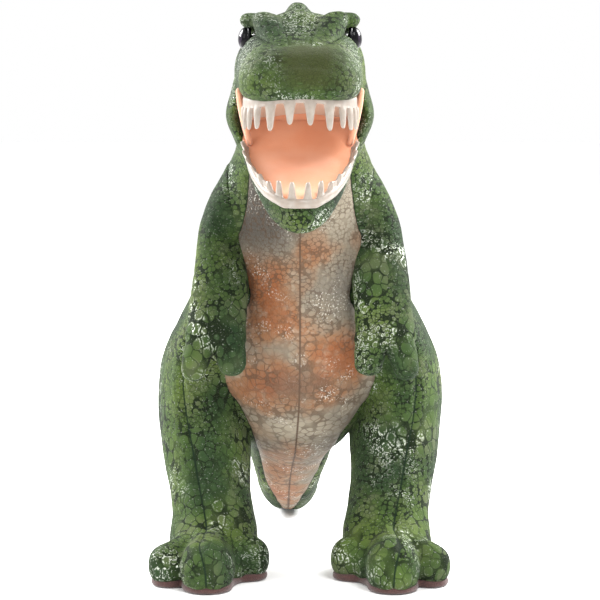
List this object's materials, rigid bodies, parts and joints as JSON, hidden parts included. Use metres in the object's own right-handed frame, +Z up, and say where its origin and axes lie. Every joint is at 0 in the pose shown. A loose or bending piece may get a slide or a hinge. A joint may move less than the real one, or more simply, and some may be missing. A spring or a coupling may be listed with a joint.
{
  "type": "stuffed toy dinosaur",
  "caption": "Stuffed plush tyrannosaur that stands on its toed feet and tail, with an open toothed mouth; neck, jaw, arms, legs and tail bend at their seams.",
  "frame": {"origin": "on the ground, under the middle of the toy's length and width", "axes": "+Z up, the toy looks along -Y and its tail points along +Y, its left side is +X"},
  "size_m": [0.176, 0.3598, 0.3337],
  "materials": {
    "green_plush": "short-pile green plush printed with round scales and silver foil flecks",
    "belly_plush": "short-pile plush, grey and rust tie-dye print with scale outlines and a foil sheen",
    "mouth_velour": "peach-orange velour",
    "sole_plush": "dark maroon plush",
    "stuffing": "white polyester fibre filling",
    "pellet_cloth": "plain woven bag filled with plastic pellets",
    "tooth_vinyl": "soft translucent off-white vinyl",
    "eye_plastic": "polished black and violet-brown safety eye",
    "washer_plastic": "natural white plastic"
  },
  "bodies": {
    "torso": {"torso_stuffing": "stuffing", "body_panel_left": "green_plush", "body_panel_right": "green_plush", "belly_panel_left": "belly_plush", "belly_panel_right": "belly_plush"},
    "neck": {"neck_stuffing": "stuffing", "neck_skin": "green_plush"},
    "head": {"head_stuffing": "stuffing", "head_crown": "green_plush", "cheek_left": "green_plush", "cheek_right": "green_plush", "brow_left": "green_plush", "brow_right": "green_plush", "eye_left": "eye_plastic", "eye_right": "eye_plastic", "eye_washer_left": "washer_plastic", "eye_washer_right": "washer_plastic", "palate_lining": "mouth_velour", "teeth_upper": "tooth_vinyl"},
    "jaw": {"jaw_stuffing": "stuffing", "jaw_skin": "green_plush", "mouth_floor_lining": "mouth_velour", "teeth_lower": "tooth_vinyl"},
    "left_arm": {"arm_stuffing_left": "stuffing", "arm_front_left": "green_plush", "arm_back_left": "green_plush"},
    "left_leg": {"leg_stuffing_left": "stuffing", "leg_outer_left": "green_plush", "leg_inner_left": "green_plush", "foot_sole_left": "sole_plush", "pellet_bag_left": "pellet_cloth"},
    "right_arm": {"arm_stuffing_right": "stuffing", "arm_front_right": "green_plush", "arm_back_right": "green_plush"},
    "right_leg": {"leg_stuffing_right": "stuffing", "leg_outer_right": "green_plush", "leg_inner_right": "green_plush", "foot_sole_right": "sole_plush", "pellet_bag_right": "pellet_cloth"},
    "tail": {"tail_stuffing": "stuffing", "tail_panel_left": "green_plush", "tail_panel_right": "green_plush", "tail_underside": "belly_plush"},
    "tail_tip": {"tail_tip_stuffing": "stuffing", "tail_tip_panel_left": "green_plush", "tail_tip_panel_right": "green_plush", "tail_tip_underside": "belly_plush"}
  },
  "joints": [
    {"name": "head_turn", "type": "hinge", "parent": "torso", "child": "neck", "pos_m": [0, -0.0406, 0.243], "axis": [0, 0, 1], "range_deg": [-20, 20], "stiffness_Nm_per_rad": 2.5},
    {"name": "head_nod", "type": "hinge", "parent": "neck", "child": "head", "pos_m": [0, -0.0406, 0.243], "axis": [1, 0, 0], "range_deg": [-12, 12], "stiffness_Nm_per_rad": 4},
    {"name": "jaw_open", "type": "hinge", "parent": "head", "child": "jaw", "pos_m": [0, -0.0846, 0.262], "axis": [1, 0, 0], "range_deg": [-18, 8], "stiffness_Nm_per_rad": 1},
    {"name": "left_arm_swing", "type": "hinge", "parent": "torso", "child": "left_arm", "pos_m": [0.048, -0.0366, 0.214], "axis": [-1, 0, 0], "range_deg": [0, 35], "stiffness_Nm_per_rad": 0.5},
    {"name": "right_arm_swing", "type": "hinge", "parent": "torso", "child": "right_arm", "pos_m": [-0.048, -0.0366, 0.214], "axis": [-1, 0, 0], "range_deg": [0, 35], "stiffness_Nm_per_rad": 0.5},
    {"name": "left_leg_swing", "type": "hinge", "parent": "torso", "child": "left_leg", "pos_m": [0.05, 0.0024, 0.108], "axis": [-0.9659, 0, 0.2588], "range_deg": [-10, 10], "stiffness_Nm_per_rad": 20},
    {"name": "right_leg_swing", "type": "hinge", "parent": "torso", "child": "right_leg", "pos_m": [-0.05, 0.0024, 0.108], "axis": [-0.9659, 0, -0.2588], "range_deg": [-10, 10], "stiffness_Nm_per_rad": 20},
    {"name": "tail_swing", "type": "hinge", "parent": "torso", "child": "tail", "pos_m": [-0.002, 0.0474, 0.058], "axis": [0, 0, 1], "range_deg": [-18, 18], "stiffness_Nm_per_rad": 2},
    {"name": "tail_tip_swing", "type": "hinge", "parent": "tail", "child": "tail_tip", "pos_m": [-0.0075, 0.1154, 0.0185], "axis": [0, 0, 1], "range_deg": [-15, 15], "stiffness_Nm_per_rad": 0.5}
  ]
}
